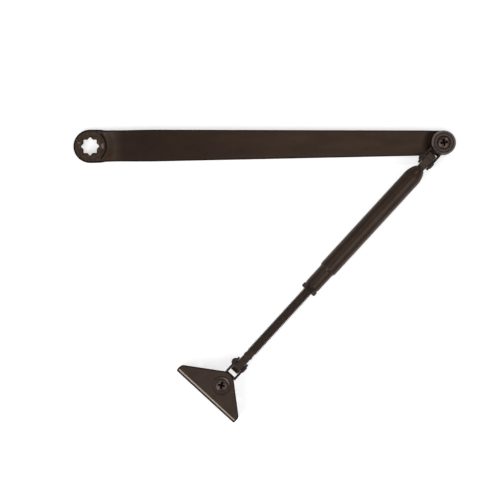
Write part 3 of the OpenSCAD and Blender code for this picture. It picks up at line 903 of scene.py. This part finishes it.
def screw(rim_z, under, shank_z, crown_h, turn):
    """Oval-head screw with a cross recess, head up; its head's edge is at rim_z and shank ends at shank_z.
    under is the profile from the shank up to the head's edge."""
    count, cross_half, cross_tip, cross_depth = 72, 0.82, 3.3, 2.3
    head_top = rim_z + crown_h
    ball = (SCREW_HEAD_R ** 2 + crown_h ** 2) / (2 * crown_h)
    edge_r = SCREW_HEAD_R - 0.25

    def crown(x, y):
        r2 = min(x * x + y * y, SCREW_HEAD_R ** 2)
        return head_top - ball + math.sqrt(ball * ball - r2)

    b = Build()
    shank_r = SCREW_R - GAP
    profile = fillet([(shank_r - 0.6, shank_z, 0), (shank_r, shank_z + 0.6, 0), *under,
                      (SCREW_HEAD_R, rim_z - 0.15, 0.15), (edge_r, crown(edge_r, 0), 0)], 3, closed=False)
    # The rounded edges of the head are rubbed, which also paints highlights on them.
    rows = [b.row(ring_at(r, z, count), worn) for r, z, worn in profile]
    b.strips([b.row([(0, 0, shank_z)]), *rows])
    # Painted shade in the cross recess.
    pit = cross_pit(cross_half, cross_tip, cross_depth, turn, crown, head_top)
    pit_rows = [b.row(loop, -0.3 if i == 0 else -1.0) for i, loop in enumerate(pit)]
    b.strips(pit_rows[::-1])
    floor_z = pit[-1][0][2]
    b.fill([pit_rows[-1][::-1]], lambda x, y: floor_z)
    loops = [[b.points[i][:2] for i in row] for row in (rows[-1], pit_rows[0])]
    extra = clear_points(rings(0, 0, [0.9 * k for k in range(1, 6)], 0.85), loops, 0.2)
    b.fill([rows[-1], pit_rows[0]], crown, extra)
    return b


def swivel_pieces(end, where, holder, washers):
    """The pieces that the elbow and the foot both have: two washers, the stirrup and its rivet.
    washers is the name of each washer and of its CAD node, the one at the stirrup's base first."""
    for (name, node), z in zip(washers, (0, UPPER_WASHER_Z)):
        piece(name, washer(z), where, PLATED, holder, [node])
    body = end + "_stirrup"
    piece(end + "_clevis", stirrup(), where, CLEVIS_PAINT, body, [body])
    piece(end + "_cross_rivet", rivet(), where @ PIN, CLEVIS_PAINT, body, [end + "_rivet"])


def flipped(build):
    """The same shape with z turned over, for the foot, whose z points down."""
    build.points = [(x, -y, -z) for x, y, z in build.points]
    return build


# ---------------- elbow

CAP_TOP = CLAMP_Z + CAP_T
WELL_Z, WELL_R, GROOVE_R = CAP_TOP - 2.0, SCREW_HEAD_R + 0.45, 8.4
HOLE_R = SCREW_R + 0.2


def cap():
    """Turned disc: bevelled rim, a fine groove, and a well for the screw's head."""
    face = CAP_TOP - 0.2
    wall = [(HOLE_R, CLAMP_Z, 0.1), (CAP_R - 0.1, CLAMP_Z, 0.3), (CAP_R, face - 1.3, 0.7),
            (CAP_R - 1.7, face, 0.6)]
    groove = [(GROOVE_R + 0.45, face, 0.15), (GROOVE_R + 0.1, face - 0.35, 0.1),
              (GROOVE_R - 0.3, CAP_TOP, 0.2)]
    well = [(WELL_R + 0.3, CAP_TOP, 0.3), (WELL_R, WELL_Z, 0.15), (HOLE_R, WELL_Z, 0.1)]
    build = lathe(fillet(wall + groove + well, 5), 120)
    # Painted shade in the groove and the screw's well; the rim's bevel rubbed, which also paints a
    # highlight on it.
    for i, (x, y, z) in enumerate(build.points):
        r = math.hypot(x, y)
        in_groove = abs(r - GROOVE_R - 0.1) < 0.3 and z < face + 0.02
        in_well = r < WELL_R + 0.2 and z < CAP_TOP - 0.05
        rim_wear_and_highlight = step(r, CAP_R - 1.9, CAP_R - 1.0) * step(z, CLAMP_Z + 1.2, CLAMP_Z + 2.2)
        build.worn[i] = -0.8 if in_groove or in_well else rim_wear_and_highlight
    return build


elbow_screw = screw(rim_z=WELL_Z + 1.6, under=[(SCREW_R - GAP, WELL_Z, 0), (SCREW_HEAD_R, WELL_Z, 0.2)],
                    shank_z=0.8 - PLATE_TOP, crown_h=1.3, turn=math.radians(8) - FORE_DIR)
piece("elbow_cap_disc", cap(), ELBOW, CAP_PAINT, "main_arm", ["elbow_cap"])
piece("elbow_cap_screw", elbow_screw, ELBOW, SCREW_FINISH, "main_arm", ["elbow_screw"])
piece("elbow_swivel_post", post(PLATE_LOW - PLATE_TOP, -PLATE_TOP, CLAMP_Z), ELBOW, PLATED, "main_arm",
      ["elbow_post"])
swivel_pieces("elbow", ELBOW, "main_arm", [("elbow_washer_low", "elbow_lower_washer"),
                                           ("elbow_washer_high", "elbow_upper_washer")])

# ---------------- forearm


def upright(build):
    """Turns a plate so that it stands on the forearm's centre line, its thickness across."""
    build.points = [(x, -z, y) for x, y, z in build.points]
    return build


def tongue(corners, pin_x):
    """Thick plate round [x, z, radius] corners, bored for a cross rivet at pin_x."""
    outline = hull_loop(corners, 0.9)
    hole = circle(pin_x, 0, RIVET_R + GAP, 40, True)

    def rim(x, y):
        return 0.0 if math.hypot(x - pin_x, y) < RIVET_R + 0.4 else 0.7

    return upright(shell(outline, [hole], lambda x, y: TONGUE_HALF, lambda x, y: -TONGUE_HALF, rim,
                         steps=4, edge=0.0))


def tube():
    """Outer tube with a curved nose at the elbow and a reduced sleeve at the nut."""
    bore, sleeve_bore, opening = TUBE_R - TUBE_WALL, SLEEVE_R - SLEEVE_WALL, 3.65
    throat_z = TUBE_START + 1.6                    # the small opening ends here
    bore_z = TUBE_START + 9.8                      # the bore has its full width from here
    rise = TUBE_R - opening - 0.75
    nose_r = (OGIVE ** 2 + rise ** 2) / (2 * rise)
    lean = math.degrees(math.asin(OGIVE / nose_r))
    nose_arc = arc(TUBE_START + OGIVE, TUBE_R - nose_r, nose_r, 90 + lean, 90, 24)
    nose = [(r, z, 0.0) for z, r in nose_arc]
    barrel = [(TUBE_R, z, 0.0) for z in np.linspace(TUBE_START + OGIVE + 3, SLEEVE_START - 3, 12)]
    sleeve = fillet([(TUBE_R, SLEEVE_START - 2, 0), (TUBE_R, SLEEVE_START + 0.9, 1.6),
                     (SLEEVE_R, SLEEVE_START + 3.2, 2.2), (SLEEVE_R, TUBE_END, 0.5),
                     (sleeve_bore, TUBE_END, 0.3), (sleeve_bore, SLEEVE_START + 3.5, 0),
                     (bore, SLEEVE_START - 1, 0), (bore, bore_z, 0), (opening, throat_z, 0)],
                    6, closed=False)
    lip = fillet([(opening, throat_z, 0), (opening, TUBE_START, 0.25), (*nose[0][:2], 0)], 4, closed=False)
    return lathe(lip[1:-1] + nose + barrel + sleeve, 96)


def tongue_plug():
    """Neck behind the tongue and the plug that fills the tube's end."""
    neck_r, plug_r = 3.6, TUBE_R - TUBE_WALL - GAP
    neck_z, plug_z, plug_end = 28.5, 42, 54
    return lathe(fillet([(0, neck_z, 0), (neck_r, neck_z, 0), (neck_r, plug_z, 0), (plug_r, plug_z, 0.5),
                         (plug_r, plug_end, 0.5), (0, plug_end, 0)], 4, closed=False), 64)


def hexagon_nut(near, far):
    """Nut with chamfered corners; z runs along the forearm."""
    chamfer_r = NUT_CORNER - 0.85
    count = 96
    sixth = math.pi / 6

    def reach(a):
        """Distance from the axis to the hexagon's edge."""
        from_corner = (a - QUARTER + sixth) % (2 * sixth) - sixth
        return NUT_CORNER * math.cos(sixth) / math.cos(sixth - abs(from_corner))

    b = Build()
    rows = []
    for z, sign in ((near, 1), (far, -1)):
        flat, side = [], []
        for a in (2 * math.pi * k / count for k in range(count)):
            r = reach(a)
            rim_r = min(chamfer_r, r)
            drop = 0.12 + 0.6 * max(0.0, r - chamfer_r + 0.3)
            flat.append((rim_r * math.cos(a), rim_r * math.sin(a), z))
            side.append((r * math.cos(a), r * math.sin(a), z + sign * drop))
        bore = b.row(ring_at(ROD_R + 0.06, z + 0.5 * sign, count))
        # The lead-in and the end face are rubbed, which also paints highlights on them; the steep sides get
        # painted shade.
        lead = b.row(ring_at(ROD_R + 0.5, z, count), 0.4)
        part = [bore, lead, b.row(flat, 0.5), b.row(side, -0.5)]
        rows += part if sign > 0 else part[::-1]
    b.strips(rows + rows[:1])
    return b


def threaded_rod(start, thread_from, thread_to, end, neck_r, neck_end):
    """Rod with a real screw thread; z runs along the forearm. The thread fades out at both ends."""
    columns, root_r, shank_r = 40, ROD_R - 0.9, ROD_R - 0.45
    fade = 1.5 * THREAD_PITCH
    phases = ((0.0, 1.0), (0.22, 1.0), (0.45, 0.0), (0.78, 0.0))   # share of a turn, share of the height
    turns = math.floor((thread_to - thread_from) / THREAD_PITCH) - 1
    b = Build()

    def ring(r, z):
        return b.row(ring_at(r, z, columns))

    low = [ring(ROD_R - 0.8, start), ring(root_r + 0.3, start + 0.8), ring(root_r + 0.3, thread_from - 1),
           ring(root_r, thread_from - 0.4)]
    b.strips([b.row([(0, 0, start)]), *low])
    helix = []
    for turn in range(turns):
        for phase, height in phases:
            row = []
            for k in range(columns):
                z = thread_from + THREAD_PITCH * (turn + phase + k / columns)
                full = step(z, thread_from, thread_from + fade) * (1 - step(z, thread_to - fade, thread_to))
                r = root_r + (ROD_R - root_r) * height * full
                a = 2 * math.pi * k / columns
                row.append((r * math.cos(a), r * math.sin(a), z))
            # The thread's crests are rubbed, which also paints highlights on them; its roots get painted
            # shade.
            helix.append(b.row(row, 1.4 * height - 0.7))
    lead = len(phases)
    for i in range(len(helix) - 1):
        for k in range(columns - 1):
            b.faces.append((helix[i][k], helix[i][k + 1], helix[i + 1][k + 1], helix[i + 1][k]))
        if i + lead + 1 < len(helix):
            b.faces.append((helix[i][-1], helix[i + lead][0], helix[i + lead + 1][0], helix[i + 1][-1]))
    high = [ring(root_r, thread_to + 0.2), ring(shank_r, thread_to + 0.9), ring(shank_r, end),
            ring(neck_r, neck_end - 1.5), ring(neck_r, neck_end)]
    first, last = helix[0], helix[-1]
    for k in range(columns - 1):
        b.faces.append((low[-1][k], low[-1][k + 1], first[k + 1], first[k]))
        b.faces.append((last[k], last[k + 1], high[0][k + 1], high[0][k]))
    b.faces.append((low[-1][-1], low[-1][0], *(row[0] for row in helix[:lead + 1]), first[-1]))
    b.faces.append((high[0][0], high[0][-1], *(row[-1] for row in helix[:-lead - 2:-1]), last[0]))
    b.strips([*high, b.row([(0, 0, neck_end)])])
    return b


plate = tongue([(PIN_REACH - TONGUE_OVER, 0, TONGUE_R), (29.5, -3.2, 1), (29.5, 3.2, 1)], PIN_REACH)
piece("forearm_tongue_plate", plate, FOREARM, FOOT_PAINT, "forearm_tube", ["forearm_tongue"])
piece("forearm_tongue_neck", tongue_plug(), FORE_AXIS, TUBE_PAINT, "forearm_tube")
piece("forearm_outer_tube", tube(), FORE_AXIS, TUBE_PAINT, "forearm_tube", ["forearm_tube"])

INSERT_R, INSERT_FAR = SLEEVE_R - SLEEVE_WALL - GAP, TUBE_END - 18
insert = lathe(fillet([(ROD_R + GAP, INSERT_FAR, 0.3), (INSERT_R, INSERT_FAR, 0.3),
                       (INSERT_R, TUBE_END, 0.2), (ROD_R + GAP, TUBE_END, 0.4)], 3))
piece("forearm_thread_insert", insert, FORE_AXIS, PLATED, "forearm_tube", ["threaded_insert"])

NUT_NEAR = TUBE_END + LOCK_WASHER_T
LOCK_INNER, LOCK_OUTER = ROD_R + 2 * GAP, 6.5
lock_ring = lathe(fillet([(LOCK_INNER, TUBE_END, 0.1), (LOCK_OUTER, TUBE_END, 0.15),
                          (LOCK_OUTER, NUT_NEAR, 0.15), (LOCK_INNER, NUT_NEAR, 0.1)], 2))
piece("forearm_lock_washer", lock_ring, FORE_AXIS, DARK_SPRING, "forearm_tube", ["lock_washer"])
piece("forearm_lock_nut", hexagon_nut(NUT_NEAR, NUT_NEAR + NUT_T), FORE_AXIS, NUT_FINISH, "forearm_tube",
      ["lock_nut"])

ROD_NECK_R, ROD_NECK_END = 3.5, FORE_LENGTH - 31
rod = threaded_rod(start=TUBE_END - 60, thread_from=TUBE_END - 46, thread_to=FORE_LENGTH - 37,
                   end=FORE_LENGTH - 34.5, neck_r=ROD_NECK_R, neck_end=ROD_NECK_END)
piece("forearm_threaded_rod", rod, FORE_AXIS, ROD_FINISH, "forearm_rod", ["forearm_rod"],
      flat_edges=70, weighted=False)
EYE_X = FORE_LENGTH - PIN_REACH
eye = tongue([(ROD_NECK_END - 1, -2.5, 0.8), (EYE_X + EYE_OVER, 0, EYE_R), (ROD_NECK_END - 1, 2.5, 0.8)],
             EYE_X)
piece("forearm_rod_eye", eye, FOREARM, ROD_FINISH, "forearm_rod")

# ---------------- foot


def foot_bracket():
    """Pressed plate made as a flat blank, its long edge folded down. Heights are from its top face."""
    bend_r = FOOT_T + 0.3                          # outside radius of the fold
    fold_at = -FLANGE_BACK + bend_r
    fold_end = fold_at - bend_r * QUARTER
    flat_end = fold_end - (FLANGE_DROP - (bend_r - FOOT_T))     # the flange's lower edge
    side_x, end_x = CORNER_X, flat_end + FOOT_CORNER
    left_y, right_y = FLANGE_SHORT - FOOT_CORNER, FOOT_CORNER - FLANGE_LONG
    corners = [(x, y, FOOT_CORNER) for x, y in ((side_x, left_y), (end_x, left_y), (end_x, right_y),
                                                (side_x, right_y))]
    outline = hull_loop([NOSE, *corners], 0.8)
    middle = (FLANGE_SHORT - FLANGE_LONG) / 2
    hole_x = flat_end + FOOT_HOLE_H
    hole_ys = [middle + s * FOOT_HOLE_PITCH / 2 for s in (-1, 1)]
    holes = [circle(0, 0, HOLE_R, 40, True)] + [circle(hole_x, y, FOOT_HOLE_R, 40, True) for y in hole_ys]

    def top(x, y):
        """A shallow dish with a countersink for the screw in its middle."""
        r = math.hypot(x, y)
        dish = DISH_DEPTH * (1 - step(r, DISH_R - 1.3, DISH_R + 0.5))
        seat = (SEAT_Z - DISH_DEPTH) * (1 - min(max((r - HOLE_R) / (SEAT_R - HOLE_R), 0), 1))
        return -dish - seat

    def bottom(x, y):
        """Level, with a seat for the post."""
        return -FOOT_T + POST_SINK * (1 - step(math.hypot(x, y), POST_R + 0.05, POST_R + 0.1))

    def rim(x, y):
        if math.hypot(x, y) < HOLE_R + 0.5:
            return 0.0
        at_hole = any(math.dist((x, y), (hole_x, h)) < FOOT_HOLE_R + 0.6 for h in hole_ys)
        return 0.25 if at_hole else 1.2

    def bend(x, y, up):
        along, height = folded(-x, -up, -fold_at, bend_r)
        return -along, y, height - FOOT_T

    by_post = [POST_R + d for d in (-1.1, -0.4, 0.02, 0.12, 0.4)]
    by_dish = [DISH_R + d for d in (-2.4, -1.9, -1.4, -1.2, -0.9, -0.6, -0.3, 0, 0.3, 0.55, 0.9, 1.7, 2.8)]
    points = rings(0, 0, by_post + by_dish, 0.9)
    points += grid(fold_end - 0.6, fold_at + 0.6, -FLANGE_LONG, FLANGE_SHORT, 0.4, 1.2)
    points += grid(flat_end, fold_end - 2, -FLANGE_LONG, FLANGE_SHORT, 4, 4)
    points += [p for p in grid(fold_at + 2, 14, -34, 26, 3, 3) if math.hypot(*p) > 12]
    build = shell(outline, holes, top, bottom, rim, points, rim_low=lambda x, y: 0.4 * rim(x, y))
    # Painted highlight on the fold and on the dish's wall towards the elbow; painted shade on the outer
    # part of the fold and round the dish. The rounded upper edges keep their painted shade.
    for i, (x, y, z) in enumerate(build.points):
        if z > -1.2 and build.worn[i] > -0.3:
            r, turn = math.hypot(x, y), math.degrees((fold_at - x) / bend_r)
            fold_highlight = step(turn, 8, 16) * (1 - step(turn, 30, 40))
            fold_shade = step(turn, 38, 50) * (1 - step(turn, 82, 96))
            dish_ring_shade = step(r, DISH_R - 0.8, DISH_R - 0.1) * (1 - step(r, DISH_R + 0.2, DISH_R + 1.0))
            dish_wall = step(r, SEAT_R, SEAT_R + 0.5) * (1 - step(r, DISH_R - 1.2, DISH_R - 0.6))
            dish_side_highlight = dish_wall * max(x / r, 0) ** 2
            build.worn[i] = fold_highlight - 0.9 * fold_shade - 0.4 * dish_ring_shade + 0.65 * dish_side_highlight
    return build.fold(bend)


def foot_screw():
    """The foot's screw, its head sunk in the dish."""
    dish_z = FOOT_T - DISH_DEPTH
    under = [(SCREW_R - GAP, FOOT_T - SEAT_Z + 0.1, 0), (SCREW_HEAD_R, dish_z + 0.1, 0.15)]
    return flipped(screw(rim_z=dish_z + 0.65, under=under, shank_z=-CLAMP_Z - 2.2, crown_h=1.25,
                         turn=math.radians(-12) - FORE_DIR))


piece("foot_plate", foot_bracket(), FOOT, FOOT_PAINT, "foot", ["foot_bracket"])
piece("foot_oval_screw", foot_screw(), FOOT, SCREW_FINISH, "foot", ["foot_screw"])
piece("foot_swivel_post", post(CLAMP_Z, CLAMP_Z + 3, -POST_SINK), FOOT, PLATED, "foot", ["foot_post"])
swivel_pieces("foot", FOOT, "foot", [("foot_washer_high", "foot_upper_washer"),
                                     ("foot_washer_low", "foot_lower_washer")])

# ---------------- stage, light and camera

VIEW_CENTRE = Vector((0.1434, -0.0949, 0.011))  # metres
VIEW_WIDTH, VIEW_DISTANCE, VIEW_ROLL = 0.450, 2.4, math.radians(-0.54)
FLOOR_HALF, FLOOR_GAP = 6.0, 0.0003
LIGHTS = (                                      # name, azimuth, elevation, distance, size, watts
    ("soft_left", 208, 60, 1.5, 0.8, 5.6),
    ("soft_below", 325, 60, 1.1, 0.7, 3.6),
    ("soft_above", 137, 66, 1.6, 0.5, 1.6),
    ("lamp_at_elbow", 48, 42, 1.5, 0.12, 2.6),
    ("lamp_at_foot", 226, 40, 1.5, 0.12, 2.4),
)


def floor():
    """Pale floor just under the object."""
    mesh = bpy.data.meshes.new("pale_floor")
    z = cad_box[0][2] - FLOOR_GAP
    corners = [(x * FLOOR_HALF, y * FLOOR_HALF, z) for x, y in ((-1, -1), (1, -1), (1, 1), (-1, 1))]
    mesh.from_pydata(corners, [], [(0, 1, 2, 3)])
    n = Nodes("pale_floor")
    n.attach(Base_Color=n.ramp(n.noise(900.0, 2.0), (0.3, 0.88), (0.7, 0.92)), Roughness=0.9)
    n.shader.inputs["Emission Color"].default_value = (1, 1, 1, 1)
    n.shader.inputs["Emission Strength"].default_value = 0.5
    mesh.materials.append(n.material)
    obj = bpy.data.objects.new("pale_floor", mesh)
    bpy.context.scene.collection.objects.link(obj)


def world_light():
    """Soft room light: bright low down and dim overhead, so that flat faces stay dark."""
    world = bpy.data.worlds.new("soft_room")
    world.use_nodes = True
    tree = world.node_tree
    where = tree.nodes.new("ShaderNodeTexCoord").outputs["Generated"]
    split = tree.nodes.new("ShaderNodeSeparateXYZ")
    ramp = tree.nodes.new("ShaderNodeValToRGB")
    low, overhead = ramp.color_ramp.elements
    low.position = 0.15
    low.color = (1.0, 1.0, 1.0, 1)
    overhead.position = 0.9
    overhead.color = (0.35, 0.35, 0.36, 1)
    tree.links.new(where, split.inputs[0])
    tree.links.new(split.outputs["Z"], ramp.inputs["Fac"])
    tree.links.new(ramp.outputs["Color"], tree.nodes["Background"].inputs["Color"])
    tree.nodes["Background"].inputs["Strength"].default_value = 0.42
    bpy.context.scene.world = world


def soft_light(name, azimuth, elevation, distance, size, watts):
    """Square area light that faces the middle of the object; azimuth 0 is +X, 90 is +Y."""
    data = bpy.data.lights.new(name, "AREA")
    data.shape = "SQUARE"
    data.size = size
    data.energy = watts
    obj = bpy.data.objects.new(name, data)
    bpy.context.scene.collection.objects.link(obj)
    a, e = math.radians(azimuth), math.radians(elevation)
    way = Vector((math.cos(e) * math.cos(a), math.cos(e) * math.sin(a), math.sin(e)))
    obj.location = VIEW_CENTRE + way * distance
    obj.rotation_euler = way.to_track_quat("Z", "Y").to_euler()


def camera():
    """Straight down from above, as in the photograph."""
    data = bpy.data.cameras.new("photo_view")
    data.angle = 2 * math.atan(VIEW_WIDTH / 2 / VIEW_DISTANCE)
    obj = bpy.data.objects.new("photo_view", data)
    bpy.context.scene.collection.objects.link(obj)
    obj.location = VIEW_CENTRE + Vector((0, 0, VIEW_DISTANCE))
    obj.rotation_euler = (0, 0, VIEW_ROLL)
    bpy.context.scene.camera = obj


floor()
world_light()
for light in LIGHTS:
    soft_light(*light)
camera()
bpy.context.scene.view_settings.view_transform = "Standard"
